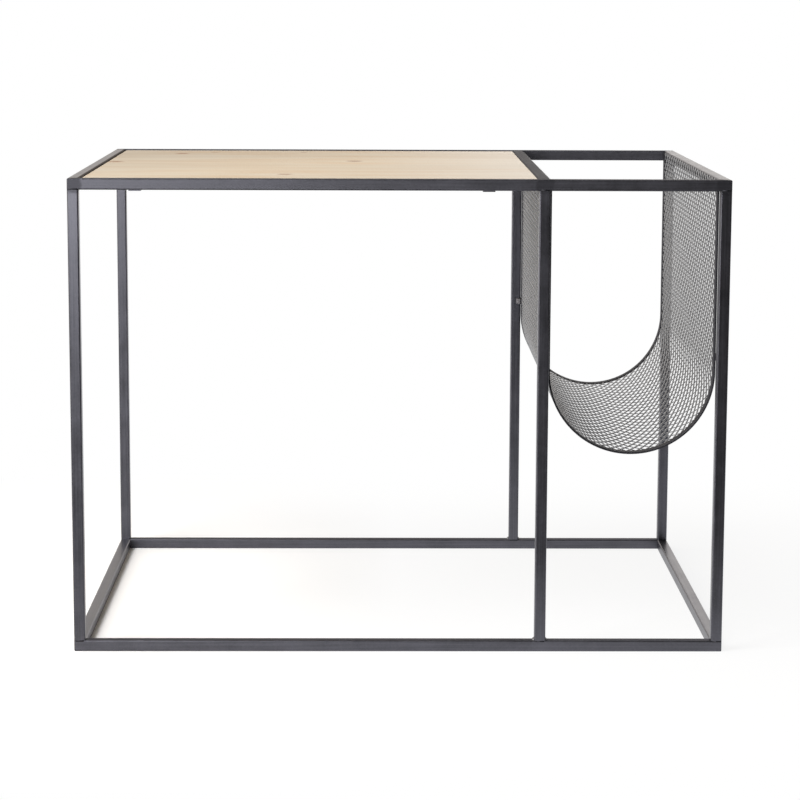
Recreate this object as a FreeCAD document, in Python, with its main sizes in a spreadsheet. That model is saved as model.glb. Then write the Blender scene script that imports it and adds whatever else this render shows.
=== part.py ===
import FreeCAD, Part
import os
import re
import Sketcher

# Magazine table: a welded frame of square steel tube, a recessed wooden board and a rack hung as a sling.
# Origin on the floor under the table's middle, +X towards the rack, +Y to the rear, +Z up, millimetres.

# Driving sizes: alias, value, meaning
SIZES = (
    ("table_width", 700.0, "over the tubes, left to right"),
    ("table_depth", 535.0, "over the tubes, front to rear"),
    ("table_height", 510.0, "floor to the top of the rails"),
    ("tube_side", 12.0, "outside of the square tube"),
    ("tube_wall", 1.2, "wall of the square tube"),
    ("tube_corner_radius", 1.5, "outer corner of the square tube"),
    ("mitre_grind", 1.2, "sharp corner of a mitred joint, ground off"),
    ("rack_clear_width", 179.0, "between the divider and the right side"),
    ("rack_drop", 295.0, "rail top to the lowest point of the sling"),
    ("sling_top_gap", 2.0, "rail top down to the sling's upper edge"),
    ("mesh_thickness", 1.6, "over the raised strands of the mesh"),
    ("mesh_open_share", 0.84, "part of the mesh's pitch that is open, each way"),
    ("rim_thickness", 2.0, "flat bar along the sling's open ends"),
    ("rim_width", 12.0, "flat bar along the sling's open ends"),
    ("rim_edge_radius", 0.5, "eased edge of the flat bar"),
    ("board_thickness", 11.0, "wooden board"),
    ("board_gap", 1.0, "open joint along the board's front and rear"),
    ("board_left_gap", 1.5, "open joint at the board's left end"),
    ("board_rack_gap", 0.6, "open joint between the board and the divider"),
    ("board_edge_radius", 0.6, "eased upper edge of the board"),
    ("board_tab_width", 13.0, "support tab along the rail"),
    ("board_tab_length", 40.0, "support tab from rail to board"),
    ("board_tab_thickness", 1.2, "support tab"),
    ("board_tab_setback", 2.5, "rail's outer face to the tab's end"),
    ("board_tab_inset", 56.0, "end of the board's bay to the tab's middle, on average"),
    ("board_tab_shift", 3.0, "pair of tabs off the bay's middle, towards the rack"),
    ("screw_end_distance", 9.0, "tab's inner end to the screw"),
    ("screw_diameter", 3.5, "shank"),
    ("screw_bite", 8.0, "length in the board"),
    ("screw_point", 2.5, "length of the pointed end"),
    ("screw_head_diameter", 7.0, "flanged head"),
    ("screw_head_height", 1.6, "flanged head"),
    ("screw_head_chamfer", 0.6, "flanged head"),
    ("screw_hole_play", 0.5, "hole in the tab over the shank"),
    ("foot_weld_leg", 2.8, "fillet weld at the divider's feet"),
    ("rim_weld_leg", 7.0, "fillet weld between a rim and a leg"),
    ("rim_weld_length", 8.0, "fillet weld between a rim and a leg"),
    ("rim_weld_rise", 12.0, "weld's lower end above the start of the curve"),
)

# Places that several pieces share, worked out from the sizes
HALF_WIDTH = "table_width / 2"
HALF_DEPTH = "table_depth / 2"
HALF_TUBE = "tube_side / 2"
SIDE_X = "(table_width / 2 - tube_side / 2)"
SIDE_Y = "(table_depth / 2 - tube_side / 2)"
CLEAR_DEPTH = "(table_depth - 2 * tube_side)"
DIVIDER_X = "(table_width / 2 - 3 * tube_side / 2 - rack_clear_width)"
BAY_WIDTH = "(table_width - 3 * tube_side - rack_clear_width)"
BAY_X = "(-table_width / 2 + tube_side + (table_width - 3 * tube_side - rack_clear_width) / 2)"
RACK_X = "(table_width / 2 - tube_side - rack_clear_width / 2)"
CURVE_Z = "(table_height - rack_drop + rack_clear_width / 2)"
SLING_TOP_Z = "(table_height - sling_top_gap)"
BOARD_SHIFT = "((board_left_gap - board_rack_gap) / 2)"
TAB_REACH = f"({BAY_WIDTH} / 2 - board_tab_inset)"
LEFT_TAB_X = f"(board_tab_shift - {TAB_REACH})"
RIGHT_TAB_X = f"(board_tab_shift + {TAB_REACH})"
TAB_Y = "(table_depth / 2 - board_tab_setback)"
SCREW_Y = "(table_depth / 2 - board_tab_setback - board_tab_length + screw_end_distance)"

X_DIR = FreeCAD.Vector(1, 0, 0)
Y_DIR = FreeCAD.Vector(0, 1, 0)
Z_DIR = FreeCAD.Vector(0, 0, 1)
NO_TURN = FreeCAD.Rotation()
HALF_TURN = FreeCAD.Rotation(Z_DIR, 180)

# Turns of a tube drawn upright: its outer side (+x) to the frame's outside, its length along the frame
FRONT_RAIL = FreeCAD.Rotation(-Y_DIR, -Z_DIR, X_DIR, "ZXY")
REAR_RAIL = FreeCAD.Rotation(Y_DIR, Z_DIR, X_DIR, "ZXY")
LEFT_RAIL = FreeCAD.Rotation(-X_DIR, Z_DIR, Y_DIR, "ZXY")
RIGHT_RAIL = FreeCAD.Rotation(X_DIR, -Z_DIR, Y_DIR, "ZXY")

# Openings of the mesh: a coarse grid stands for its many small diamonds
BEND_OPENINGS, WALL_OPENINGS, DEEP_OPENINGS = 5, 3, 12

# Sketch numbers of the sheet's origin and axes, and of a curve's points
ORIGIN, X_AXIS, Y_AXIS = (-1, 1), -1, -2
START, END, CENTRE = 1, 2, 3

# A sketch is drawn roughly at first, and its formulas then set its real size
ROUGH = 1.0

# Nearer than this, two places are the same
TOUCH = 1e-6

doc = FreeCAD.newDocument("magazine_table")
mm = {alias: value for alias, value, meaning in SIZES}


def fill_sheet():
    """Puts each driving size in the sheet: its name, its number under that alias, and its meaning."""
    sheet = doc.addObject("Spreadsheet::Sheet", "sizes")
    for row, (alias, value, meaning) in enumerate(SIZES, start=1):
        sheet.set(f"A{row}", alias)
        sheet.set(f"B{row}", str(value))
        sheet.setAlias(f"B{row}", alias)
        sheet.set(f"C{row}", meaning)
    doc.recompute()


def bind(item, place, formula):
    """Ties a property to a formula in the sheet's aliases; a name with a bracket is a function."""
    item.setExpression(place, re.sub(r"[a-z_]+\b(?!\()", lambda name: "sizes." + name.group(), formula))


def new_body(label):
    body = doc.addObject("PartDesign::Body", label)
    body.Label = label
    return body


def put(item, place, turn=NO_TURN):
    """Turns an object and ties its position to three formulas; "0" leaves it on the origin's plane."""
    item.Placement = FreeCAD.Placement(FreeCAD.Vector(), turn)
    for axis, formula in zip("xyz", place):
        if formula != "0":
            bind(item, f"Placement.Base.{axis}", formula)


def new_sketch(body, name, plane):
    sketch = body.newObject("Sketcher::SketchObject", name)
    support = [item for item in body.Origin.OriginFeatures if item.Role == plane]
    sketch.AttachmentSupport = [(support[0], "")]
    sketch.MapMode = "FlatFace"
    return sketch


def fix_point(sketch, point, place):
    """Ties one point of a sketch to a pair of formulas; "0" lays it on the axis."""
    drawn = sketch.getPoint(*point)
    axes = ("DistanceX", Y_AXIS, drawn.x), ("DistanceY", X_AXIS, drawn.y)
    for (kind, axis, drawn_at), formula in zip(axes, place):
        if formula == "0":
            sketch.addConstraint(Sketcher.Constraint("PointOnObject", *point, axis))
        else:
            number = sketch.addConstraint(Sketcher.Constraint(kind, *ORIGIN, *point, drawn_at))
            bind(sketch, f"Constraints[{number}]", formula)


def draw_polygon(sketch, corners):
    """Draws a closed outline whose corners are pairs of formulas."""
    first = sketch.GeometryCount
    count = len(corners)
    drawn = [FreeCAD.Vector(ROUGH + step, (ROUGH + step) ** 2, 0) for step in range(count)]
    for step in range(count):
        sketch.addGeometry(Part.LineSegment(drawn[step], drawn[(step + 1) % count]))
    for step in range(count):
        line, following = first + step, first + (step + 1) % count
        sketch.addConstraint(Sketcher.Constraint("Coincident", line, END, following, START))
    for step, corner in enumerate(corners):
        fix_point(sketch, (first + step, START), corner)


def draw_rectangle(sketch, width, height):
    """Draws a rectangle about the sketch's origin."""
    left, right = f"-({width}) / 2", f"({width}) / 2"
    bottom, top = f"-({height}) / 2", f"({height}) / 2"
    draw_polygon(sketch, ((left, bottom), (right, bottom), (right, top), (left, top)))


def draw_circle(sketch, centre, diameter):
    circle = sketch.addGeometry(Part.Circle(FreeCAD.Vector(ROUGH, ROUGH, 0), Z_DIR, ROUGH))
    fix_point(sketch, (circle, CENTRE), centre)
    number = sketch.addConstraint(Sketcher.Constraint("Diameter", circle, 2 * ROUGH))
    bind(sketch, f"Constraints[{number}]", diameter)


def add_pad(body, sketch, length, side="One side"):
    pad = body.newObject("PartDesign::Pad", body.Name + "_pad")
    pad.Profile = sketch
    pad.SideType = side
    bind(pad, "Length", length)
    doc.recompute()
    return pad


def add_pocket(body, sketch):
    """Cuts the sketch through the whole body, both ways, and makes sure that it cut something."""
    before = body.Shape.Volume
    pocket = body.newObject("PartDesign::Pocket", sketch.Name + "_cut")
    pocket.Profile = sketch
    pocket.Type = "ThroughAll"
    pocket.SideType = "Symmetric"
    doc.recompute()
    if not body.Shape.Volume < before:
        raise RuntimeError(f"{sketch.Name} cuts nothing")
    return pocket


def add_fillet(body, base, is_wanted, radius):
    """Rounds the edges of the base that the test picks."""
    names = [f"Edge{n}" for n, edge in enumerate(base.Shape.Edges, start=1) if is_wanted(edge)]
    fillet = body.newObject("PartDesign::Fillet", body.Name + "_fillet")
    fillet.Base = (base, names)
    bind(fillet, "Radius", radius)
    doc.recompute()


def is_outer_corner(edge):
    """An edge along the tube, on the corner of its outside."""
    box = edge.BoundBox
    runs_along = box.ZLength > TOUCH and box.XLength < TOUCH and box.YLength < TOUCH
    return runs_along and abs(abs(box.XMin) - mm["tube_side"] / 2) < TOUCH


def add_tube(label, length, place, turn=NO_TURN, mitred=False):
    """A square tube, drawn upright from its lower end, with its ends cut square or mitred to 45 degrees."""
    body = new_body(label)
    section = new_sketch(body, label + "_section", "XY_Plane")
    draw_rectangle(section, "tube_side", "tube_side")
    bore = "tube_side - 2 * tube_wall"
    draw_rectangle(section, bore, bore)
    pad = add_pad(body, section, length)
    add_fillet(body, pad, is_outer_corner, "tube_corner_radius")
    if mitred:
        add_mitres(body, length)
    put(body, place, turn)
    return body


def add_mitres(body, length):
    """Cuts a corner off the tube's inner side (-x) at both ends, and grinds off the tip that is left.

    Each cut runs a little past the tube's faces. The grind is square to the mitre, so two tubes meet flat.
    """
    outer, inner, tip = "3 * tube_side / 4", "-3 * tube_side / 4", "(tube_side / 2 - mitre_grind / 2)"
    sketch = new_sketch(body, body.Name + "_mitres", "XZ_Plane")
    for from_end in ("", f"{length} - "):
        past, far, ground = (f"{from_end}({reach})" for reach in (
            "-tube_side / 4", "5 * tube_side / 4", "tube_side / 4 + mitre_grind"))
        tip_corner = tip, f"{from_end}(mitre_grind / 2)"
        draw_polygon(sketch, ((outer, past), (inner, past), (inner, far), tip_corner, (outer, ground)))
    add_pocket(body, sketch)


def add_rectangle_frame(prefix, level):
    """Four mitred rails at one height: the top or the bottom of the frame."""
    rails = (
        ("front", "table_width", (f"-{HALF_WIDTH}", f"-{SIDE_Y}", level), FRONT_RAIL),
        ("rear", "table_width", (f"-{HALF_WIDTH}", SIDE_Y, level), REAR_RAIL),
        ("left", "table_depth", (f"-{SIDE_X}", f"-{HALF_DEPTH}", level), LEFT_RAIL),
        ("right", "table_depth", (SIDE_X, f"-{HALF_DEPTH}", level), RIGHT_RAIL),
    )
    return [add_tube(f"{prefix}_{side}_rail", length, place, turn, mitred=True)
            for side, length, place, turn in rails]


def add_legs():
    """Six uprights between the two rectangles: four corners and the pair at the rack's divider."""
    columns = ("left", f"-{SIDE_X}"), ("right", SIDE_X), ("divider", DIVIDER_X)
    rows = ("front", f"-{SIDE_Y}"), ("rear", SIDE_Y)
    length = "table_height - 2 * tube_side"
    return [add_tube(f"{row}_{column}_leg", length, (x, y, "tube_side"))
            for column, x in columns for row, y in rows]


def add_divider_rail():
    """The top rail between the board and the rack, butted between the front and rear rails."""
    place = (DIVIDER_X, f"-{CLEAR_DEPTH} / 2", f"table_height - {HALF_TUBE}")
    return add_tube("top_divider_rail", CLEAR_DEPTH, place, LEFT_RAIL)


def is_board_top_edge(edge):
    return abs(edge.BoundBox.ZMin - mm["board_thickness"]) < TOUCH


def add_board():
    """The wooden board, lying on the tabs inside the rails, with pilot holes for its screws."""
    body = new_body("tabletop_board")
    outline = new_sketch(body, "board_outline", "XY_Plane")
    width = f"{BAY_WIDTH} - board_left_gap - board_rack_gap"
    draw_rectangle(outline, width, f"{CLEAR_DEPTH} - 2 * board_gap")
    pad = add_pad(body, outline, "board_thickness")
    add_fillet(body, pad, is_board_top_edge, "board_edge_radius")
    pilots = new_sketch(body, "board_pilot_holes", "XY_Plane")
    for x in (LEFT_TAB_X, RIGHT_TAB_X):
        for y in (f"-{SCREW_Y}", SCREW_Y):
            draw_circle(pilots, (f"{x} - {BOARD_SHIFT}", y), "screw_diameter")
    before = body.Shape.Volume
    holes = body.newObject("PartDesign::Pocket", "board_pilot_cut")
    holes.Profile = pilots
    holes.Reversed = True
    bind(holes, "Length", "screw_bite")
    doc.recompute()
    if not body.Shape.Volume < before:
        raise RuntimeError("the pilot holes cut nothing")
    put(body, (f"{BAY_X} + {BOARD_SHIFT}", "0", "table_height - tube_side"))
    return body


def tab_places():
    """Name, place formulas and turn of each support: two under the front rail, two under the rear one."""
    for row, sign, turn in (("front", "-", NO_TURN), ("rear", "", HALF_TURN)):
        for column, x in (("left", LEFT_TAB_X), ("right", RIGHT_TAB_X)):
            yield f"{row}_{column}", f"{BAY_X} + {x}", sign, turn


def add_board_tabs():
    """Flat tabs welded under the front and rear rails, reaching in under the board."""
    tabs = []
    for name, x, sign, turn in tab_places():
        body = new_body(f"{name}_board_tab")
        outline = new_sketch(body, f"{name}_tab_outline", "XY_Plane")
        half = "board_tab_width / 2"
        length = "board_tab_length"
        draw_polygon(outline, ((f"-{half}", "0"), (half, "0"), (half, length), (f"-{half}", length)))
        hole = ("0", "board_tab_length - screw_end_distance")
        draw_circle(outline, hole, "screw_diameter + screw_hole_play")
        add_pad(body, outline, "board_tab_thickness")
        put(body, (x, f"{sign}{TAB_Y}", "table_height - tube_side - board_tab_thickness"), turn)
        tabs.append(body)
    return tabs


def add_screw(name, place):
    """A wood screw pointing up: its head under the tab, its shank through the tab and into the board."""
    body = new_body(name)
    head, shank = "screw_head_diameter / 2", "screw_diameter / 2"
    tip = "(board_tab_thickness + screw_bite)"
    corners = (
        ("0", "-screw_head_height"),
        (f"{head} - screw_head_chamfer", "-screw_head_height"),
        (head, "-screw_head_height + screw_head_chamfer"),
        (head, "0"),
        (shank, "0"),
        (shank, f"{tip} - screw_point"),
        ("0", tip),
    )
    sketch = new_sketch(body, f"{name}_profile", "XZ_Plane")
    draw_polygon(sketch, corners)
    turned = body.newObject("PartDesign::Revolution", f"{name}_turned")
    turned.Profile = sketch
    turned.ReferenceAxis = (sketch, ["V_Axis"])
    turned.Angle = 360
    put(body, place)
    doc.recompute()
    return body


def add_board_screws():
    level = "table_height - tube_side - board_tab_thickness"
    screws = [add_screw(f"{name}_screw", (x, f"{sign}{SCREW_Y}", level))
              for name, x, sign, turn in tab_places()]
    return add_group("board_screws", screws)


def add_group(label, members):
    """Keeps identical small pieces together as separate solids under one name."""
    group = doc.addObject("Part::Compound", label)
    group.Label = label
    group.Links = members
    return group


def draw_sling_section(sketch, thickness):
    """Draws the sling's wall: two uprights joined by a half circle, with the given thickness inside it."""
    outer = mm["rack_clear_width"] / 2
    inner = outer - mm[thickness]
    top = mm["table_height"] - mm["sling_top_gap"]
    curve = mm["table_height"] - mm["rack_drop"] + outer
    spots = {"outer": outer, "inner": inner}
    lines = {}
    for wall, radius in spots.items():
        left_top, left_low = FreeCAD.Vector(-radius, top), FreeCAD.Vector(-radius, curve)
        right_low, right_top = FreeCAD.Vector(radius, curve), FreeCAD.Vector(radius, top)
        bottom = FreeCAD.Vector(0, curve - radius)
        left = sketch.addGeometry(Part.LineSegment(left_top, left_low))
        bend = sketch.addGeometry(Part.Arc(left_low, bottom, right_low))
        right = sketch.addGeometry(Part.LineSegment(right_low, right_top))
        sketch.addConstraint(Sketcher.Constraint("Coincident", left, END, bend, START))
        sketch.addConstraint(Sketcher.Constraint("Coincident", bend, END, right, START))
        lines[wall] = left, bend, right
    for pick, end in ((0, START), (2, END)):
        edge = sketch.addGeometry(Part.LineSegment(*[
            sketch.getPoint(lines[wall][pick], end) for wall in ("outer", "inner")]))
        sketch.addConstraint(Sketcher.Constraint("Coincident", lines["outer"][pick], end, edge, START))
        sketch.addConstraint(Sketcher.Constraint("Coincident", lines["inner"][pick], end, edge, END))
    reach = {"outer": "rack_clear_width / 2", "inner": f"(rack_clear_width / 2 - {thickness})"}
    for wall, (left, bend, right) in lines.items():
        fix_point(sketch, (left, START), (f"-{reach[wall]}", SLING_TOP_Z))
        fix_point(sketch, (left, END), (f"-{reach[wall]}", CURVE_Z))
        fix_point(sketch, (right, START), (reach[wall], CURVE_Z))
        fix_point(sketch, (right, END), (reach[wall], SLING_TOP_Z))
        number = sketch.addConstraint(Sketcher.Constraint("DistanceY", *ORIGIN, bend, CENTRE, curve))
        bind(sketch, f"Constraints[{number}]", CURVE_Z)


def add_sling_part(label, thickness, length, y):
    """One stretch of the sling along its depth: the mesh, or the flat bar at one of its ends."""
    body = new_body(label)
    section = new_sketch(body, f"{label}_section", "XZ_Plane")
    draw_sling_section(section, thickness)
    pad = add_pad(body, section, length, side="Symmetric")
    if thickness == "rim_thickness":
        add_fillet(body, pad, is_rim_edge, "rim_edge_radius")
    put(body, (RACK_X, y, "0"))
    return body


def is_rim_edge(edge):
    """An edge along the bent bar, on one of its narrow sides."""
    return edge.BoundBox.YLength < TOUCH and edge.Length > mm["rim_thickness"] + TOUCH


def draw_mesh_openings(sketch):
    """Draws one row of openings over the mesh's section: some round the bend, some up each wall.

    An opening takes the open share of its pitch, in the pitch's middle, and reaches past both faces.
    """
    inner, outer = (f"(rack_clear_width / 2 {side} 4 * mesh_thickness)" for side in "-+")
    solid = "(1 - mesh_open_share) / 2"
    for step in range(BEND_OPENINGS):
        ends = f"{step} + {solid}", f"{step + 1} - {solid}"
        first, last = (f"180 / {BEND_OPENINGS} * ({at})" for at in ends)
        corners = (inner, first), (outer, first), (outer, last), (inner, last)
        draw_polygon(sketch, [(f"-{reach} * cos({turn})", f"{CURVE_Z} - {reach} * sin({turn})")
                              for reach, turn in corners])
    pitch = f"(rack_drop - tube_side - rack_clear_width / 2) / {WALL_OPENINGS}"
    for step in range(WALL_OPENINGS):
        ends = f"{step} + {solid}", f"{step + 1} - {solid}"
        low, high = (f"{CURVE_Z} + {pitch} * ({at})" for at in ends)
        for side in "-", "":
            near, far = side + inner, side + outer
            draw_polygon(sketch, ((near, low), (far, low), (far, high), (near, high)))


def cut_mesh_openings(body, length):
    """Cuts the first row of openings at one end of the mesh, and repeats it along the depth."""
    pitch = f"({length}) / {DEEP_OPENINGS}"
    to_last = f"{pitch} * {DEEP_OPENINGS - 1}"
    sketch = new_sketch(body, "mesh_opening_row", "XZ_Plane")
    bind(sketch, "AttachmentOffset.Base.z", f"-{to_last} / 2")
    draw_mesh_openings(sketch)
    before = body.Shape.Volume
    row = body.newObject("PartDesign::Pocket", "mesh_opening_row_cut")
    row.Profile = sketch
    row.SideType = "Symmetric"
    bind(row, "Length", f"{pitch} * mesh_open_share")
    doc.recompute()
    one_row = before - body.Shape.Volume
    rows = body.newObject("PartDesign::LinearPattern", "mesh_opening_rows")
    rows.Originals = [row]
    rows.Direction = (sketch, ["N_Axis"])
    rows.Occurrences = DEEP_OPENINGS
    bind(rows, "Length", to_last)
    body.Tip = rows
    doc.recompute()
    if not one_row > 0 or abs(before - body.Shape.Volume - DEEP_OPENINGS * one_row) > one_row / 100:
        raise RuntimeError("the mesh's openings are not all cut")


def add_sling():
    """The rack: a mesh sheet between two bent flat bars, hung against the divider and right rails."""
    rim_y = f"({CLEAR_DEPTH} / 2 - rim_width / 2)"
    mesh_length = f"{CLEAR_DEPTH} - 2 * rim_width"
    mesh = add_sling_part("rack_mesh", "mesh_thickness", mesh_length, "0")
    cut_mesh_openings(mesh, mesh_length)
    return [
        mesh,
        add_sling_part("rack_front_rim", "rim_thickness", "rim_width", f"-{rim_y}"),
        add_sling_part("rack_rear_rim", "rim_thickness", "rim_width", rim_y),
    ]


def add_bead(name, plane, corners, length, side, place, turn=NO_TURN):
    """A three-sided fillet weld laid into the corner of two faces."""
    body = new_body(name)
    sketch = new_sketch(body, f"{name}_section", plane)
    draw_polygon(sketch, corners)
    add_pad(body, sketch, length, side)
    put(body, place, turn)
    return body


def add_foot_welds():
    """Fillet welds left and right of each divider leg, on the bottom rails."""
    corners = ("0", "0"), ("foot_weld_leg", "0"), ("0", "foot_weld_leg")
    flat = "tube_side - 2 * tube_corner_radius"
    beads = []
    for row, y in (("front", f"-{SIDE_Y}"), ("rear", SIDE_Y)):
        for side, sign, turn in (("left", "-", HALF_TURN), ("right", "+", NO_TURN)):
            place = (f"{DIVIDER_X} {sign} {HALF_TUBE}", y, "tube_side")
            name = f"{row}_{side}_foot_bead"
            beads.append(add_bead(name, "XZ_Plane", corners, flat, "Symmetric", place, turn))
    return add_group("divider_foot_welds", beads)


def add_rim_welds():
    """Fillet welds between the rims' outer faces and the four legs beside them."""
    level = f"{CURVE_Z} + rim_weld_rise"
    beads = []
    for row, y, back in (("front", f"-{CLEAR_DEPTH} / 2", ""), ("rear", f"{CLEAR_DEPTH} / 2", "-")):
        for side, sign, out in (("left", "-", "-"), ("right", "+", "")):
            corners = ("0", "0"), (f"{out}rim_weld_leg", "0"), ("0", f"{back}rim_weld_leg")
            place = (f"{RACK_X} {sign} rack_clear_width / 2", y, level)
            name = f"{row}_{side}_rim_bead"
            beads.append(add_bead(name, "XY_Plane", corners, "rim_weld_length", "One side", place))
    return add_group("rack_rim_welds", beads)


def check(pieces):
    """Stops if any object failed to compute or any piece has no valid solid."""
    for item in doc.Objects:
        if "Invalid" in item.State or "Error" in item.State:
            raise RuntimeError(f"{item.Label} failed: {item.State}")
    for piece in pieces:
        if piece.Shape.isNull() or not piece.Shape.isValid() or not piece.Shape.Solids:
            raise RuntimeError(f"{piece.Label} has no valid solid")


def main():
    fill_sheet()
    pieces = add_rectangle_frame("bottom", HALF_TUBE)
    pieces += add_rectangle_frame("top", f"table_height - {HALF_TUBE}")
    pieces += add_legs()
    pieces.append(add_divider_rail())
    pieces.append(add_board())
    pieces += add_board_tabs()
    pieces.append(add_board_screws())
    pieces += add_sling()
    pieces.append(add_foot_welds())
    pieces.append(add_rim_welds())
    doc.recompute()
    check(pieces)
    os.makedirs("parts", exist_ok=True)
    for piece in pieces:
        piece.Shape.exportStep(f"parts/{piece.Label}.step")
        print(f"{piece.Label}: {len(piece.Shape.Solids)} solid, {piece.Shape.Volume:.0f} mm3")


main()
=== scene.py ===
import math

import bpy
import numpy as np
from mathutils import Matrix, Vector


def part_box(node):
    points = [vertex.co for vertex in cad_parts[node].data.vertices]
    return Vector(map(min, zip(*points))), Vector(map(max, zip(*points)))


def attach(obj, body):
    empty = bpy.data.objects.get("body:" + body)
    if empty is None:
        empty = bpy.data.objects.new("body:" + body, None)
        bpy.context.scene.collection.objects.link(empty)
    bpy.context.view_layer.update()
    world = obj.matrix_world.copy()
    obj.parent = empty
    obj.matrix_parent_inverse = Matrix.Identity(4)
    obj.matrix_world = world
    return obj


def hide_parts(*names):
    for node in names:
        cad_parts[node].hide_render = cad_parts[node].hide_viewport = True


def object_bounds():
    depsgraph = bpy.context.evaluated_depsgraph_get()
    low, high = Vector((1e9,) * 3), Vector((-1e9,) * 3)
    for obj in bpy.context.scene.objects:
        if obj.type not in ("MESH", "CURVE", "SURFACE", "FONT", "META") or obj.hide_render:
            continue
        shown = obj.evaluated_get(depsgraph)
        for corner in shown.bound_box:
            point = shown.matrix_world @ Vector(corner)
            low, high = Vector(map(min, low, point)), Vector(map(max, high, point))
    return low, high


# Magazine table: the looks of a welded steel frame, a fir board and a rack of expanded steel mesh.
# Metres, in the model's frame: origin on the floor under the table, +X towards the rack, +Y to the rear.

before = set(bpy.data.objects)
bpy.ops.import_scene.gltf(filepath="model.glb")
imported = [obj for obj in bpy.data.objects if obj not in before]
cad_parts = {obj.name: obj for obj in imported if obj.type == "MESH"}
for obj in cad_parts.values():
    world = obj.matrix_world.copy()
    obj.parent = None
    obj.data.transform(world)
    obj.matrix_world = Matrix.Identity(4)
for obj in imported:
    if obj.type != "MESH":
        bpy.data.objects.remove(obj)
cad_low, cad_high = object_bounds()

MM = 0.001
BODY = "root"

# Sizes of the real thing that the looks add to the model
MESH_PERIODS = 24                # diamonds along the rack's depth
MESH_SHORT_WAY = 10.5 * MM       # diamond's short way, along the bend of the rack
STRAND_WIDTH = 1.6 * MM
STRAND_THICKNESS = 0.85 * MM
STRAND_TILT = math.radians(-25)  # expanding the sheet turns its strands out of its plane
BOND_SHARE = 0.2                 # share of a diamond's length where two strands are one
SHEET_THICKNESS = 1.6 * MM       # over the turned strands, as in the model
TUBE_RADIUS = 1.5 * MM           # rounded corner of the square tube
SEAM_LENGTH = 9.0 * MM           # flat of the tube's side, where a joint is ground flush
FOOT_BEAD_LEG = 2.2 * MM
FOOT_BEAD_LENGTH = 9.0 * MM
RIM_BEAD_LEG = 7.0 * MM
RIM_BEAD_LENGTH = 8.0 * MM
RIM_BEAD_RISE = 12.0 * MM        # lower end of the bead above the start of the rack's bend
BEAD_RIPPLE = 1.3 * MM           # pitch of a weld's ripples
SCREW_HEAD_RADIUS = 3.5 * MM
SCREW_HEAD_HEIGHT = 1.6 * MM
SCREW_SHANK_RADIUS = 1.75 * MM
SCREW_POINT = 2.5 * MM
CROSS_REACH = 2.1 * MM           # half the width of the screw's cross recess
CROSS_BLADE = 0.55 * MM          # half the width of one blade of the cross
CROSS_DEPTH = 1.0 * MM
SCREW_TIP_RADIUS = 0.02 * MM
SCREW_SIDES = 48
STAVE_WIDTH = 102 * MM           # the board is glued up from staves
JOINT_SHADE_BEGINS, JOINT_SHADE_FULL = 3.0 * MM, 1.2 * MM         # distances from the board's open joint where the painted shade along it begins and is full
GROUND_FULL, GROUND_ENDS = 15.5 * MM, 17.5 * MM   # where a ground place fades, from its joint
GROUND_RAGGED = 10 * MM          # how far its edge wanders

# Knots of the board: place along and across it, size along and across, strength
KNOTS = (
    (-328 * MM, 30 * MM, 13 * MM, 13 * MM, 1.0),
    (-262 * MM, 190 * MM, 12 * MM, 13 * MM, 1.0),
    (-50 * MM, 50 * MM, 13 * MM, 12 * MM, 1.0),
    (-124 * MM, -180 * MM, 12 * MM, 10 * MM, 0.9),
    (-224 * MM, 213 * MM, 7 * MM, 8 * MM, 0.6),
    (-114 * MM, 220 * MM, 7 * MM, 8 * MM, 0.6),
)

# Darker and lighter tone of the blackened tube
BLACKED = ("#56565c", "#67676f")

# Wood colours: pale, dark, warm, and a painted sheen, the paler, cooler tone of the bright backdrop's
# reflection
PALE_WOOD, DARK_WOOD, WARM_WOOD, PAINTED_SHEEN_WOOD = "#d9cdb8", "#c1ac8e", "#cbb08d", "#ded7cd"

# Studio: soft boxes by name, place, target, width, height and watts, and the room's brightness each side
SOFT_BOXES = (
    ("key_upper_left", (-1.9, -1.4, 3.1), (0.0, 0.0, 0.2), 1.6, 1.6, 102),
    ("low_front_left", (-0.85, -2.6, 0.6), (-0.3, 0.0, 0.3), 1.0, 0.6, 15),
    ("rear_right", (1.0, 3.2, 0.8), (0.2, 0.0, 0.4), 1.6, 1.2, 3.8),
)
ROOM_LEFT, ROOM_RIGHT = 2.8, 0.06
BACKDROP_COLOUR = "#fff8f0"
GLOW_LEFT, GLOW_RIGHT = 0.02, 0.88
GLOW_START = 0.02                # distance from the table's left side where the paper's glow begins to rise
PAPER, PAPER_SEEN = 0.8, 1.05    # the camera sees the paper lifted to white
DIM_PAPER = 0.16                 # the paper's colour in front, beyond the pool of light: painted shade
POOL_START, POOL_END = 0.02, 0.42    # distances in front of the table between which the painted light falls off
WHITE_REACH = 0.5                # distance around the table where the paper is all white

# The camera, solved from the photograph's edges at 800 x 800, with its lens axis taken to be in the middle
IMAGE_SIDE = 800
FOCAL_PIXELS = 2551.3
SENSOR = 36.0
CAMERA_PLACE = (-0.0298, -2.9508, 0.6969)
CAMERA_YAW, CAMERA_PITCH, CAMERA_ROLL = (math.radians(turn) for turn in (0.6537, 8.9285, 0.2148))


def linear(colour):
    """An sRGB hex value as the linear colour that shaders take."""
    parts = [int(colour[at:at + 2], 16) / 255 for at in (1, 3, 5)]
    return tuple(c / 12.92 if c <= 0.04045 else ((c + 0.055) / 1.055) ** 2.4 for c in parts) + (1.0,)


def add(tree, kind, sockets=None, **settings):
    """Adds a node, makes its settings, and fills its sockets with numbers or with other nodes' outputs."""
    made = tree.nodes.new("ShaderNode" + kind)
    for name, value in settings.items():
        setattr(made, name, value)
    for name, value in (sockets or {}).items():
        if isinstance(value, bpy.types.NodeSocket):
            tree.links.new(value, made.inputs[name])
        else:
            made.inputs[name].default_value = value
    return made


def once_per(*sizes):
    """Scales at which a pattern repeats once in each of these millimetres."""
    return tuple(1 / (size * MM) for size in sizes)


def new_material(name):
    """An empty material, its tree, and its output node."""
    material = bpy.data.materials.new(name)
    material.use_nodes = True
    tree = material.node_tree
    tree.nodes.clear()
    return material, tree, add(tree, "OutputMaterial")


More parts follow.
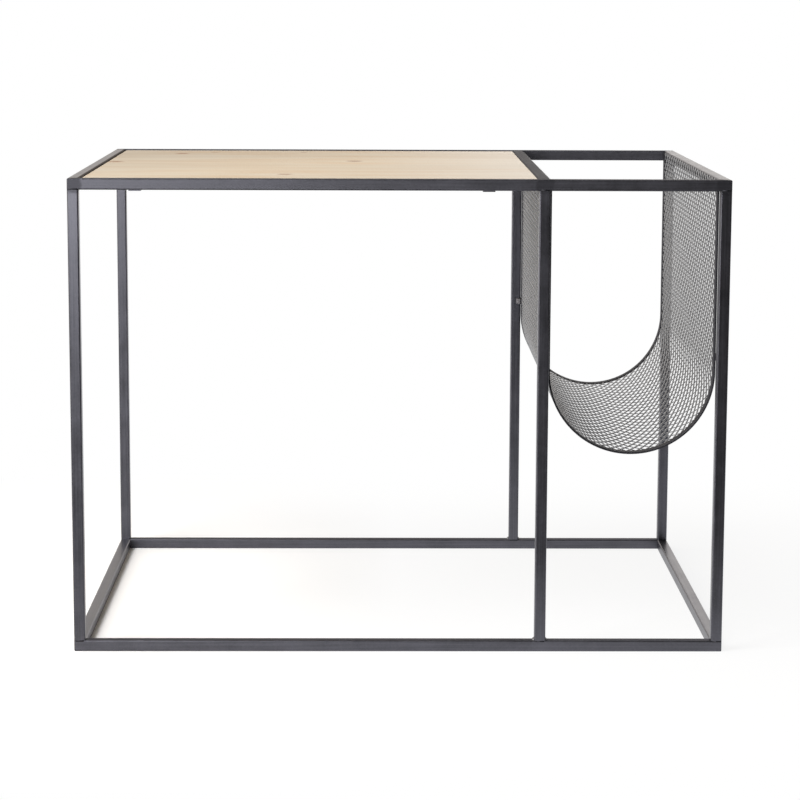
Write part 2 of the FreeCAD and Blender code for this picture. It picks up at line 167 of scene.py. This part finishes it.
def joint_distance(tree, place):
    """How far a place is from the nearest welded joint of the top: a corner or an end of the divider."""
    low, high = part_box("front_right_leg")
    divider = sum(end.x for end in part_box("front_divider_leg")) / 2
    reach_x, reach_y = (low.x + high.x) / 2, -(low.y + high.y) / 2
    level = high.z + (high.x - low.x) / 2
    apart = []
    for centre_x, joint_x in ((0.0, reach_x), (divider, 0.0)):
        off = add(tree, "VectorMath", {0: place, 1: (centre_x, 0.0, level)}, operation="SUBTRACT")
        folded = add(tree, "VectorMath", {0: off.outputs[0]}, operation="ABSOLUTE")
        apart.append(add(tree, "VectorMath", {0: folded.outputs[0], 1: (joint_x, reach_y, 0.0)},
                         operation="DISTANCE"))
    return add(tree, "Math", {0: apart[0].outputs["Value"], 1: apart[1].outputs["Value"]},
               operation="MINIMUM")


def blackened_steel(name, along, dark, light, rough, glare, stain=None):
    """Square steel tube, blackened, brushed along its length and waxed.

    The eye gets a dark blue-grey metal with a soft sheen, faint streaks along the tube, a fine speckle,
    cloudy patches of thicker and thinner black, and at the upper joints a darker, duller place, ground
    flush. The black layer leaves only a share, the glare, of what bare metal mirrors at a glancing look.
    A stain, given as the x where it begins and is full, is painted shade: a dull dark line along a shaded
    joint.
    """
    material, tree, output = new_material(name)
    place = add(tree, "TexCoord").outputs["Object"]
    streak_scale = [1 / (1.6 * MM)] * 3
    streak_scale[along] = 1 / (110 * MM)
    stretched = add(tree, "Mapping", {"Vector": place, "Scale": streak_scale})
    streaks = add(tree, "TexNoise", {"Vector": stretched.outputs[0], "Scale": 1.0, "Detail": 3.0})
    clouds = add(tree, "TexNoise", {"Vector": place, "Scale": 1 / (34 * MM), "Detail": 4.0,
                                    "Roughness": 0.6})
    specks = add(tree, "TexNoise", {"Vector": place, "Scale": 1 / (1.8 * MM), "Detail": 2.0})
    patches = add(tree, "Math", {0: streaks.outputs[0], 1: clouds.outputs[0]}, operation="ADD")
    both = add(tree, "Math", {0: specks.outputs[0], 1: 0.5, 2: patches.outputs[0]},
               operation="MULTIPLY_ADD")
    shade = add(tree, "MapRange", {0: both.outputs[0], 1: 0.95, 2: 1.55})
    blacked = add(tree, "Mix", {0: shade.outputs[0], 6: linear(dark), 7: linear(light)}, data_type="RGBA")
    apart = joint_distance(tree, place)
    ragged = add(tree, "Math", {0: clouds.outputs[0], 1: GROUND_RAGGED, 2: apart.outputs[0]},
                 operation="MULTIPLY_ADD")
    ground = add(tree, "MapRange", {0: ragged.outputs[0], 1: GROUND_FULL, 2: GROUND_ENDS, 3: 0.6, 4: 0.0})
    colour = add(tree, "Mix", {0: ground.outputs[0], 6: blacked.outputs[2], 7: linear("#414146")},
                 data_type="RGBA")
    uneven = add(tree, "Math", {0: ground.outputs[0], 1: 0.5, 2: both.outputs[0]}, operation="MULTIPLY_ADD")
    gloss = add(tree, "MapRange", {0: uneven.outputs[0], 1: 0.85, 2: 1.75,
                                   3: rough - 0.06, 4: rough + 0.08})
    relief = add(tree, "Math", {0: specks.outputs[0], 1: 0.5, 2: streaks.outputs[0]},
                 operation="MULTIPLY_ADD")
    bump = add(tree, "Bump", {"Height": relief.outputs[0], "Strength": 0.1, "Distance": 0.1 * MM})
    shader = add(tree, "BsdfPrincipled", {
        "Base Color": colour.outputs[2], "Metallic": 1.0,
        "Roughness": gloss.outputs[0], "Normal": bump.outputs[0],
        "Specular Tint": (glare, glare, glare, 1.0)})
    if stain:
        # Painted shade: near the joint the tube turns into a dull dark brown diffuse line, standing in for
        # the shade in the gap between the rail and the board.
        across = add(tree, "SeparateXYZ", {0: place})
        waxed = add(tree, "MapRange", {0: across.outputs[0], 1: stain[0], 2: stain[1], 4: 0.85})
        painted_joint_shade = add(tree, "BsdfDiffuse", {"Color": linear("#4a423c")})
        shader = add(tree, "MixShader", {0: waxed.outputs[0], 1: shader.outputs[0], 2: painted_joint_shade.outputs[0]})
    tree.links.new(shader.outputs[0], output.inputs[0])
    return material


def expanded_steel():
    """Expanded steel sheet, lacquered in its own grey: lighter than the tube, satin and slightly mottled."""
    material, tree, output = new_material("lacquered_steel_mesh")
    place = add(tree, "TexCoord").outputs["Object"]
    mottle = add(tree, "TexNoise", {"Vector": place, "Scale": 1 / (9 * MM), "Detail": 4.0})
    colour = add(tree, "Mix", {0: mottle.outputs[0], 6: linear("#8a8c90"), 7: linear("#a5a7ab")},
                 data_type="RGBA")
    gloss = add(tree, "MapRange", {0: mottle.outputs[0], 3: 0.3, 4: 0.42})
    shader = add(tree, "BsdfPrincipled", {
        "Base Color": colour.outputs[2], "Metallic": 0.9, "Roughness": gloss.outputs[0]})
    tree.links.new(shader.outputs[0], output.inputs[0])
    return material


def weld_steel():
    """Weld metal left as laid, thinly blackened: grey, uneven and duller than the tube's sides."""
    material, tree, output = new_material("blackened_weld")
    place = add(tree, "TexCoord").outputs["Object"]
    mottle = add(tree, "TexNoise", {"Vector": place, "Scale": 1 / (1.2 * MM), "Detail": 4.0})
    colour = add(tree, "Mix", {0: mottle.outputs[0], 6: linear("#5e5e63"), 7: linear("#8c8c92")},
                 data_type="RGBA")
    gloss = add(tree, "MapRange", {0: mottle.outputs[0], 3: 0.36, 4: 0.56})
    bump = add(tree, "Bump", {"Height": mottle.outputs[0], "Strength": 0.3, "Distance": 0.15 * MM})
    shader = add(tree, "BsdfPrincipled", {
        "Base Color": colour.outputs[2], "Metallic": 1.0,
        "Roughness": gloss.outputs[0], "Normal": bump.outputs[0]})
    tree.links.new(shader.outputs[0], output.inputs[0])
    return material


def knot_fields(tree, place):
    """The board's knots: how dark they stain each place, and the place with the grain bent round them.

    Near a knot, a place's distance across the grain from the knot's middle shrinks, so that the growth
    lines, which are drawn at the bent place, crowd together beside the knot and part round it.
    """
    stain, bent = None, place
    for x, y, along, across, strength in KNOTS:
        off = add(tree, "VectorMath", {0: place, 1: (x, y, 0.0)}, operation="SUBTRACT")
        flat = add(tree, "VectorMath", {0: off.outputs[0], 1: (1 / along, 1 / across, 0.0)},
                   operation="MULTIPLY")
        apart = add(tree, "VectorMath", {0: flat.outputs[0]}, operation="LENGTH")
        core = add(tree, "MapRange", {0: apart.outputs["Value"], 1: 0.35, 2: 1.0, 3: strength, 4: 0.0},
                   interpolation_type="SMOOTHSTEP")
        halo = add(tree, "MapRange", {0: apart.outputs["Value"], 1: 0.5, 2: 4.0, 3: -0.75, 4: 0.0},
                   interpolation_type="SMOOTHSTEP")
        across_only = add(tree, "VectorMath", {0: off.outputs[0], 1: (0.0, 1.0, 0.0)}, operation="MULTIPLY")
        pull = add(tree, "VectorMath", {0: across_only.outputs[0], "Scale": halo.outputs[0]},
                   operation="SCALE")
        bent = add(tree, "VectorMath", {0: bent, 1: pull.outputs[0]}, operation="ADD").outputs[0]
        stain = core.outputs[0] if stain is None else add(
            tree, "Math", {0: stain, 1: core.outputs[0]}, operation="MAXIMUM").outputs[0]
    return stain, bent


def fir_board():
    """Planed fir, glued up from staves and matt-lacquered.

    The eye gets a pale straw wood with fine darker growth lines along its length, warm patches, a slight
    change of tone from stave to stave and towards the rear left corner, a painted sheen that makes the end
    at the divider paler and cooler, and a few small brown knots that the lines flow round.
    """
    material, tree, output = new_material("planed_fir")
    place = add(tree, "TexCoord").outputs["Object"]
    stain, bent = knot_fields(tree, place)
    split = add(tree, "SeparateXYZ", {0: place})
    stave_at = add(tree, "Math", {0: split.outputs[1], 1: STAVE_WIDTH}, operation="DIVIDE")
    stave = add(tree, "Math", {0: stave_at.outputs[0]}, operation="FLOOR")
    tone = add(tree, "TexWhiteNoise", {"W": stave.outputs[0]}, noise_dimensions="1D")
    shift = add(tree, "VectorMath", {0: tone.outputs["Color"], "Scale": 3.0}, operation="SCALE")
    own = add(tree, "VectorMath", {0: bent, 1: shift.outputs[0]}, operation="ADD")
    wander_at = add(tree, "Mapping", {"Vector": own.outputs[0], "Scale": once_per(300, 60, 60)})
    wander = add(tree, "TexNoise", {"Vector": wander_at.outputs[0], "Scale": 1.0, "Detail": 2.0})
    line_at = add(tree, "Mapping", {"Vector": own.outputs[0], "Scale": once_per(600, 4.5, 4.5)})
    swayed = add(tree, "VectorMath", {0: wander.outputs[1], 1: (0.0, 6.0, 0.0), 2: line_at.outputs[0]},
                 operation="MULTIPLY_ADD")
    lines = add(tree, "TexNoise", {"Vector": swayed.outputs[0], "Scale": 1.0, "Detail": 4.0,
                                   "Roughness": 0.65})
    band_at = add(tree, "Mapping", {"Vector": own.outputs[0], "Scale": once_per(200, 50, 50)})
    bands = add(tree, "TexNoise", {"Vector": band_at.outputs[0], "Scale": 1.0, "Detail": 2.0})
    dark_lines = add(tree, "MapRange", {0: lines.outputs[0], 1: 0.35, 2: 0.75})
    wood = add(tree, "Mix", {0: dark_lines.outputs[0], 6: linear(PALE_WOOD), 7: linear(DARK_WOOD)},
               data_type="RGBA")
    warmth = add(tree, "MapRange", {0: bands.outputs[0], 1: 0.42, 2: 0.7, 3: 0.0, 4: 0.85})
    warm = add(tree, "Mix", {0: warmth.outputs[0], 6: wood.outputs[2], 7: linear(WARM_WOOD)},
               data_type="RGBA")
    # Painted sheen: towards the divider end the wood is mixed to a paler, cooler tone that stands in for the
    # backdrop's reflection.
    painted_sheen_share = add(tree, "MapRange", {0: split.outputs[0], 1: -0.05, 2: 0.14, 3: 0.0, 4: 0.6})
    cool = add(tree, "Mix", {0: painted_sheen_share.outputs[0], 6: warm.outputs[2], 7: linear(PAINTED_SHEEN_WOOD)},
               data_type="RGBA")
    pale = add(tree, "MapRange", {0: tone.outputs["Value"], 3: 0.94, 4: 1.04})
    to_corner = add(tree, "Math", {0: split.outputs[0], 1: -1.0, 2: split.outputs[1]},
                    operation="MULTIPLY_ADD")
    shaded = add(tree, "MapRange", {0: to_corner.outputs[0], 1: 0.08, 2: 0.52, 3: 1.0, 4: 0.72})
    level = add(tree, "Math", {0: pale.outputs[0], 1: shaded.outputs[0]}, operation="MULTIPLY")
    toned = add(tree, "VectorMath", {0: cool.outputs[2], "Scale": level.outputs[0]}, operation="SCALE")
    colour = add(tree, "Mix", {0: stain, 6: toned.outputs[0], 7: linear("#8a5f3c")}, data_type="RGBA")
    gloss = add(tree, "MapRange", {0: lines.outputs[0], 1: 0.3, 2: 0.8, 3: 0.46, 4: 0.58})
    bump = add(tree, "Bump", {"Height": lines.outputs[0], "Strength": 0.15, "Distance": 0.1 * MM})
    shader = add(tree, "BsdfPrincipled", {
        "Base Color": colour.outputs[2], "Roughness": gloss.outputs[0], "Normal": bump.outputs[0]})
    tree.links.new(shader.outputs[0], output.inputs[0])
    return material


def zinc_screw():
    """Zinc-plated steel: a pale, faintly blue metal with a satin surface."""
    material, tree, output = new_material("zinc_plated_steel")
    place = add(tree, "TexCoord").outputs["Object"]
    grain = add(tree, "TexNoise", {"Vector": place, "Scale": 1 / (0.6 * MM), "Detail": 3.0})
    gloss = add(tree, "MapRange", {0: grain.outputs[0], 3: 0.25, 4: 0.45})
    shader = add(tree, "BsdfPrincipled", {
        "Base Color": linear("#b9bcc0"), "Metallic": 1.0, "Roughness": gloss.outputs[0]})
    tree.links.new(shader.outputs[0], output.inputs[0])
    return material


def new_piece(name, points, quads, material):
    """Puts a mesh of four-sided faces in the scene, as a piece of the table."""
    mesh = bpy.data.meshes.new(name)
    mesh.vertices.add(len(points))
    mesh.vertices.foreach_set("co", np.asarray(points, np.float32).ravel())
    mesh.loops.add(4 * len(quads))
    mesh.loops.foreach_set("vertex_index", np.asarray(quads, np.int32).ravel())
    mesh.polygons.add(len(quads))
    mesh.polygons.foreach_set("loop_start", np.arange(0, 4 * len(quads), 4, dtype=np.int32))
    mesh.update(calc_edges=True)
    mesh.materials.append(material)
    piece = bpy.data.objects.new(name, mesh)
    bpy.context.scene.collection.objects.link(piece)
    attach(piece, BODY)
    return piece


def rod_quads(rods, stations, corners):
    """Face numbers of many closed rods, each a ring of corners carried over stations, with its ends capped.

    A cap is a strip of four-sided faces between the halves of its ring, so the corners are even in number.
    """
    rod, at, side = np.meshgrid(np.arange(rods), np.arange(stations - 1), np.arange(corners), indexing="ij")
    here = (rod * stations + at) * corners
    following = (side + 1) % corners
    walls = np.stack([here + side, here + following, here + corners + following, here + corners + side], -1)
    step = np.arange(corners // 2 - 1)[:, None]
    strip = np.hstack([step, step + 1, corners - 2 - step, corners - 1 - step])
    first = np.arange(rods)[:, None, None] * stations * corners
    last = first + (stations - 1) * corners
    caps = np.concatenate([first + strip[:, ::-1], last + strip])
    return np.concatenate([walls.reshape(-1, 4), caps.reshape(-1, 4)])


def corner_rods(name, places, u, v, t, material, slot):
    """Rods laid into corners. Each place has a point on the corner's edge and two directions away from it.

    A rod's section is (u, v) along those directions, and t runs along the edge from the rod's middle.
    """
    edge, one_way, other_way = (np.array(part)[:, None, None, :] for part in zip(*places))
    along = np.cross(one_way, other_way)
    points = edge + u[..., None] * one_way + v[..., None] * other_way + t[..., None] * along
    rods, stations, corners = points.shape[:3]
    return new_piece(name, points.reshape(-1, 3), rod_quads(rods, stations, corners), material)


def weld_bead_section(leg, length):
    """A fillet weld's section at each station: a bulging triangle whose size ripples and ends rounded.

    At an angle in the corner, the flat triangle's edge is leg / (cos + sin); a bulge of sin(2 angle) and
    ripples that lag behind in the middle are multiplied on, and the ends shrink along a quarter ellipse.
    """
    stations, corners = 33, 8
    t = np.linspace(-length / 2, length / 2, stations)[:, None]
    angle = np.linspace(0, math.pi / 2, corners - 1)[None, :]
    bulge = 1 + 0.2 * np.sin(2 * angle)
    lag = t + 0.35 * leg * np.sin(2 * angle)
    ripple = 0.93 + 0.1 * np.abs(np.sin(math.pi * lag / BEAD_RIPPLE))
    rounding = 1.2 * MM
    past = np.clip((np.abs(t) - length / 2 + rounding) / rounding, 0, 0.995)
    size = leg / (np.cos(angle) + np.sin(angle)) * bulge * ripple * np.sqrt(1 - past ** 2)
    root = np.zeros_like(t)
    u = np.hstack([root, size * np.cos(angle)])
    v = np.hstack([root, size * np.sin(angle)])
    return u, v, np.broadcast_to(t, u.shape)


def weld_beads(material):
    """The welds that were left as laid: at the feet of the divider legs, and between rims and legs."""
    up, to_right, to_rear = np.array([0, 0, 1.0]), np.array([1.0, 0, 0]), np.array([0, 1.0, 0])
    feet, rims = [], []
    sling_low, sling_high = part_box("rack_mesh")
    bend_z = sling_low.z + (sling_high.x - sling_low.x) / 2
    rim_z = bend_z + RIM_BEAD_RISE + RIM_BEAD_LENGTH / 2
    for row in ("front", "rear"):
        low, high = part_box(row + "_divider_leg")
        inner_y, inwards = (high.y, to_rear) if row == "front" else (low.y, -to_rear)
        for foot_x, sling_x, out in ((low.x, sling_low.x, -to_right), (high.x, sling_high.x, to_right)):
            feet.append(((foot_x, (low.y + high.y) / 2, low.z), out, up))
            rims.append(((sling_x, inner_y, rim_z), out, inwards))
    foot = corner_rods("divider_foot_beads", feet, *weld_bead_section(FOOT_BEAD_LEG, FOOT_BEAD_LENGTH),
                       material, "frame_steel")
    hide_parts("divider_foot_welds")
    rim = corner_rods("rack_rim_beads", rims, *weld_bead_section(RIM_BEAD_LEG, RIM_BEAD_LENGTH),
                      material, "frame_steel")
    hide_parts("rack_rim_welds")


def ground_seams(material):
    """Weld metal, ground flush, in the grooves between a tube's cut end and the rounded rail it meets.

    The section is a square corner less a quarter circle: from the corner, along the flush face to the
    rounding, round it with u = r - r sin, v = r - r cos, and back along the tube's cut end.
    """
    turn = np.linspace(0, math.pi / 2, 5)
    u = np.append(0, TUBE_RADIUS * (1 - np.sin(turn)))[None, :].repeat(2, 0)
    v = np.append(0, TUBE_RADIUS * (1 - np.cos(turn)))[None, :].repeat(2, 0)
    t = np.broadcast_to(np.array([[-0.5], [0.5]]) * SEAM_LENGTH, u.shape)
    axes = np.eye(3)
    places = []
    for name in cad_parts:
        if not name.endswith(("_leg", "divider_rail")):
            continue
        low, high = (np.array(corner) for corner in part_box(name))
        middle, half = (low + high) / 2, (high - low) / 2
        if name.endswith("divider_rail"):
            length, faces = axes[1], (axes[2], -axes[2])
        elif name.endswith("divider_leg"):
            length, faces = axes[2], (axes[1], -axes[1])
        else:
            length, faces = axes[2], (axes[0] * np.sign(middle[0]), axes[1] * np.sign(middle[1]))
        for end in (-length, length):
            places += [(middle + half * end + half * face, end, -face) for face in faces]
    corner_rods("ground_joint_seams", places, u, v, t, material, "frame_steel")


def screws(material):
    """Four pan-head wood screws, each a profile turned round its axis, with a cross pressed into its head.

    The head's underside is z = height (1 - (1 - (r / radius) ** 3) ** (1 / 3)), flat in the middle and
    rounded at the rim. Inside the cross, where x or y is within half a blade of the axis, it is sunk.
    """
    low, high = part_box("board_screws")
    tip = high.z - low.z
    share = np.concatenate([np.linspace(0.01, 0.62, 20), np.linspace(0.7, 1, 8)])
    head_r = SCREW_HEAD_RADIUS * share
    head_z = SCREW_HEAD_HEIGHT * (1 - np.cbrt(1 - share ** 3))
    r = np.append(head_r, [SCREW_SHANK_RADIUS, SCREW_SHANK_RADIUS, SCREW_TIP_RADIUS])[:, None]
    z = np.append(head_z, [SCREW_HEAD_HEIGHT, tip - SCREW_POINT, tip])[:, None]
    angle = np.arange(SCREW_SIDES)[None, :] / SCREW_SIDES * 2 * math.pi
    x, y = r * np.cos(angle), r * np.sin(angle)
    blade = np.minimum(np.abs(x), np.abs(y)) < CROSS_BLADE
    recess = blade & (r < CROSS_REACH) & (z < SCREW_HEAD_HEIGHT / 2)
    z = z + np.where(recess, CROSS_DEPTH * (1 - 0.5 * r / CROSS_REACH), 0)
    one = np.stack([x, y, z], -1)
    reach = SCREW_HEAD_RADIUS
    spots = [(at_x, at_y, low.z) for at_x in (low.x + reach, high.x - reach)
             for at_y in (low.y + reach, high.y - reach)]
    points = np.array(spots)[:, None, None, :] + one
    piece = new_piece("pan_head_screws", points.reshape(-1, 3),
                      rod_quads(len(spots), len(r), angle.size), material)
    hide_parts("board_screws")


def rack_mesh(material):
    """The rack's expanded steel mesh, strand by strand.

    A strand runs along the depth and swings to and fro along the bend, in a triangle wave with cut-off
    peaks; its neighbours swing the other way, so that they meet at the peaks and leave diamonds between.
    Each strand is a flat bar turned out of the sheet's plane. Distance s along the sheet becomes a place
    on the U: down the left wall, round the half circle and up the right wall, with n the distance inwards
    from the sheet's middle.
    """
    low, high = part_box("rack_mesh")
    radius_out = (high.x - low.x) / 2
    radius = radius_out - SHEET_THICKNESS / 2
    centre_x, centre_z = (low.x + high.x) / 2, low.z + radius_out
    wall = high.z - centre_z
    total = 2 * wall + math.pi * radius

    strands = round(2 * total / MESH_SHORT_WAY)
    seen_width = STRAND_WIDTH * math.cos(STRAND_TILT)
    step = (total - seen_width) / (strands - 0.5)
    swing = (step - seen_width) / 2
    start = seen_width / 2 + step / 4

    periods = np.arange(MESH_PERIODS)[:, None]
    corner = np.array([0, BOND_SHARE, 0.5, 0.5 + BOND_SHARE])
    turns = np.append((periods + corner).ravel(), MESH_PERIODS)
    wave = np.append(np.tile([1.0, 1.0, -1.0, -1.0], MESH_PERIODS), 1.0)
    y = low.y + (high.y - low.y) * turns / MESH_PERIODS

    number = np.arange(strands)
    sign = np.where(number % 2 == 0, 1.0, -1.0)
    s = start + number[:, None] * step + sign[:, None] * swing * wave[None, :]
    half_width, half_thick = STRAND_WIDTH / 2, STRAND_THICKNESS / 2
    across = np.array([-1, -1, 1, 1]) * half_width
    through = np.array([-1, 1, 1, -1]) * half_thick
    ds = across * math.cos(STRAND_TILT) - through * math.sin(STRAND_TILT)
    n = across * math.sin(STRAND_TILT) + through * math.cos(STRAND_TILT)

    s = s[:, :, None] + ds
    turn = np.clip((s - wall) / radius, 0, math.pi)
    beyond = np.minimum(s, wall) + np.maximum(s - wall - math.pi * radius, 0)
    drop = np.where(s <= wall, wall - beyond, beyond - wall)
    reach = radius - n
    x = centre_x - reach * np.cos(turn)
    z = centre_z - reach * np.sin(turn) + drop
    points = np.stack([x, np.broadcast_to(y[None, :, None], x.shape), z], -1)
    piece = new_piece("rack_diamond_mesh", points.reshape(-1, 3),
                      rod_quads(strands, len(y), 4), material)
    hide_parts("rack_mesh")


def dress_nodes(materials):
    """Gives every CAD node its finish: its own, or the tube's by the way it runs, or else the tabs'."""
    # The rims take the dull copy of the tube, whose darker tone is there in part painted shade.
    own = {"top_divider_rail": "steel_dull", "rack_front_rim": "steel_dull", "rack_rear_rim": "steel_dull",
           "top_rear_rail": "steel_rear", "top_left_rail": "steel_joint_shade", "rack_mesh": "mesh",
           "tabletop_board": "wood", "board_screws": "screw"}
    tubes = {"front_rail": "steel_x", "rear_rail": "steel_x", "left_rail": "steel_y",
             "right_rail": "steel_y", "leg": "steel_z"}
    for name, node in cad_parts.items():
        by_way = [key for ending, key in tubes.items() if name.endswith(ending)]
        key = own.get(name, by_way[0] if by_way else "steel_y")
        node.data.materials.clear()
        node.data.materials.append(materials[key])


def studio_floor():
    """A wide pale sheet under the table, flat and of one face, that keeps the table's soft shadow.

    In front, beyond a pool of light that is painted into its colour, the paper is dark: painted shade, as
    of a dim room. To the camera, and to the metal that mirrors it, part of the paper glows white: little
    at the left rail, more to the right, all of it further off.
    """
    reach = 6.0
    mesh = bpy.data.meshes.new("studio_floor")
    corners = [(-reach, -reach, 0), (reach, -reach, 0), (reach, reach, 0), (-reach, reach, 0)]
    mesh.from_pydata(corners, [], [(0, 1, 2, 3)])
    floor = bpy.data.objects.new("studio_floor", mesh)
    bpy.context.scene.collection.objects.link(floor)
    material, tree, output = new_material("white_studio_paper")
    place = add(tree, "TexCoord").outputs["Object"]
    folded = add(tree, "VectorMath", {0: place}, operation="ABSOLUTE")
    beyond = add(tree, "VectorMath", {0: folded.outputs[0], 1: (cad_high.x, cad_high.y, 0.0)},
                 operation="SUBTRACT")
    outside = add(tree, "VectorMath", {0: beyond.outputs[0], 1: (0.0, 0.0, 0.0)}, operation="MAXIMUM")
    apart = add(tree, "VectorMath", {0: outside.outputs[0]}, operation="LENGTH").outputs["Value"]
    split = add(tree, "SeparateXYZ", {0: place})
    pool = add(tree, "MapRange", {0: split.outputs[1], 1: cad_low.y - POOL_END, 2: cad_low.y - POOL_START,
                                  3: DIM_PAPER, 4: PAPER})
    path = add(tree, "LightPath")
    tone = add(tree, "Mix", {0: path.outputs["Is Camera Ray"], 2: pool.outputs[0], 3: PAPER_SEEN},
               data_type="FLOAT")
    paper = add(tree, "BsdfDiffuse", {"Color": tone.outputs[0]})
    near = add(tree, "MapRange", {0: split.outputs[0], 1: cad_low.x + GLOW_START, 2: 0.0,
                                  3: GLOW_LEFT, 4: GLOW_RIGHT})
    share = add(tree, "MapRange", {0: apart, 1: 0.0, 2: WHITE_REACH, 3: near.outputs[0], 4: 1.0})
    lit = add(tree, "MapRange", {0: pool.outputs[0], 1: DIM_PAPER, 2: PAPER})
    mirrored = add(tree, "Math", {0: lit.outputs[0], 1: path.outputs["Is Glossy Ray"]},
                   operation="MULTIPLY")
    shown = add(tree, "Math", {0: mirrored.outputs[0], 1: path.outputs["Is Camera Ray"]},
                operation="MAXIMUM")
    white = add(tree, "Math", {0: share.outputs[0], 1: shown.outputs[0]}, operation="MULTIPLY")
    glow = add(tree, "Emission", {"Strength": 1.0})
    both = add(tree, "MixShader", {0: white.outputs[0], 1: paper.outputs[0], 2: glow.outputs[0]})
    tree.links.new(both.outputs[0], output.inputs[0])
    mesh.materials.append(material)


def studio_light():
    """Soft boxes at the left and above, and a room that is dim in front and on the right, and white behind.

    The world's strength follows the direction x, y, z of a ray: it fades from the left to the right, and
    behind the table it rises to the white backdrop, which sweeps up and over. To the camera it is plain
    white, and to metal that mirrors it too.
    """
    for name, place, target, width, height, watts in SOFT_BOXES:
        light = bpy.data.lights.new(name, "AREA")
        light.shape = "RECTANGLE"
        light.size, light.size_y = width, height
        light.energy = watts
        lamp = bpy.data.objects.new(name, light)
        lamp.location = place
        lamp.rotation_euler = (Vector(target) - Vector(place)).to_track_quat("-Z", "Y").to_euler()
        lamp.visible_camera = False
        bpy.context.scene.collection.objects.link(lamp)
    world = bpy.data.worlds.new("studio")
    bpy.context.scene.world = world
    world.use_nodes = True
    tree = world.node_tree
    tree.nodes.clear()
    split = add(tree, "SeparateXYZ", {0: add(tree, "TexCoord").outputs["Generated"]})
    sides = add(tree, "MapRange", {0: split.outputs[0], 1: -0.95, 2: -0.25, 3: ROOM_LEFT, 4: ROOM_RIGHT})
    overhead = add(tree, "MapRange", {0: split.outputs[2], 1: 0.55, 2: 0.8})
    rearwards = add(tree, "MapRange", {0: split.outputs[1], 1: 0.0, 2: 0.3})
    ceiling = add(tree, "Math", {0: overhead.outputs[0], 1: rearwards.outputs[0]}, operation="MULTIPLY")
    behind = add(tree, "MapRange", {0: split.outputs[1], 1: 0.35, 2: 0.9})
    sweep = add(tree, "Math", {0: behind.outputs[0], 1: ceiling.outputs[0]}, operation="MAXIMUM")
    path = add(tree, "LightPath")
    mirrored = add(tree, "Math", {0: sweep.outputs[0], 1: path.outputs["Is Glossy Ray"]},
                   operation="MULTIPLY")
    dull = add(tree, "Math", {0: behind.outputs[0], 1: 0.3}, operation="MULTIPLY")
    room = add(tree, "Math", {0: mirrored.outputs[0], 1: dull.outputs[0]}, operation="MAXIMUM")
    shown = add(tree, "Math", {0: room.outputs[0], 1: path.outputs["Is Camera Ray"]}, operation="MAXIMUM")
    strength = add(tree, "Mix", {0: shown.outputs[0], 2: sides.outputs[0], 3: 1.0}, data_type="FLOAT")
    tint = add(tree, "Mix", {0: path.outputs["Is Camera Ray"], 6: linear(BACKDROP_COLOUR), 7: (1, 1, 1, 1)},
               data_type="RGBA")
    seen = add(tree, "Background", {"Color": tint.outputs[2], "Strength": strength.outputs[0]})
    output = add(tree, "OutputWorld")
    tree.links.new(seen.outputs[0], output.inputs[0])


def camera():
    """The photograph's camera: turned right by the yaw, down by the pitch, then rolled about its view."""
    data = bpy.data.cameras.new("camera")
    data.sensor_width = SENSOR
    data.lens = FOCAL_PIXELS / IMAGE_SIDE * SENSOR
    seen = bpy.data.objects.new("camera", data)
    bpy.context.scene.collection.objects.link(seen)
    ahead = Vector((math.sin(CAMERA_YAW) * math.cos(CAMERA_PITCH),
                    math.cos(CAMERA_YAW) * math.cos(CAMERA_PITCH), -math.sin(CAMERA_PITCH)))
    level = Vector((math.cos(CAMERA_YAW), -math.sin(CAMERA_YAW), 0))
    upright = level.cross(ahead)
    right = math.cos(CAMERA_ROLL) * level + math.sin(CAMERA_ROLL) * upright
    up = -math.sin(CAMERA_ROLL) * level + math.cos(CAMERA_ROLL) * upright
    turn = Matrix((right, up, -ahead)).transposed()
    seen.matrix_world = Matrix.Translation(CAMERA_PLACE) @ turn.to_4x4()
    bpy.context.scene.camera = seen


left_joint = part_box("top_left_rail")[1].x
materials = {
    "steel_x": blackened_steel("blackened_steel_along_x", 0, *BLACKED, 0.4, 0.4),
    "steel_y": blackened_steel("blackened_steel_along_y", 1, *BLACKED, 0.33, 0.92),
    # The top left rail's tube, with painted shade along its joint with the board.
    "steel_joint_shade": blackened_steel("blackened_steel_painted_joint_shade", 1, *BLACKED, 0.33, 0.92,
                                   (left_joint - JOINT_SHADE_BEGINS, left_joint - JOINT_SHADE_FULL)),
    "steel_z": blackened_steel("blackened_steel_along_z", 2, *BLACKED, 0.33, 1.0),
    "steel_rear": blackened_steel("rough_blackened_steel", 0, *BLACKED, 0.5, 0.0),
    # A darker, duller copy of the tube, for the top divider rail, the rack's rims and the ground seams; on
    # the rims its darker tone is in part painted shade, standing in for the shade of what the rack holds.
    "steel_dull": blackened_steel("dull_blackened_steel", 1, "#3a3a3f", "#46464b", 0.55, 0.7),
    "mesh": expanded_steel(),
    "wood": fir_board(),
    "screw": zinc_screw(),
}
dress_nodes(materials)
weld = weld_steel()
rack_mesh(materials["mesh"])
weld_beads(weld)
ground_seams(materials["steel_dull"])
screws(materials["screw"])
studio_floor()
studio_light()
camera()
bpy.context.scene.view_settings.view_transform = "Standard"
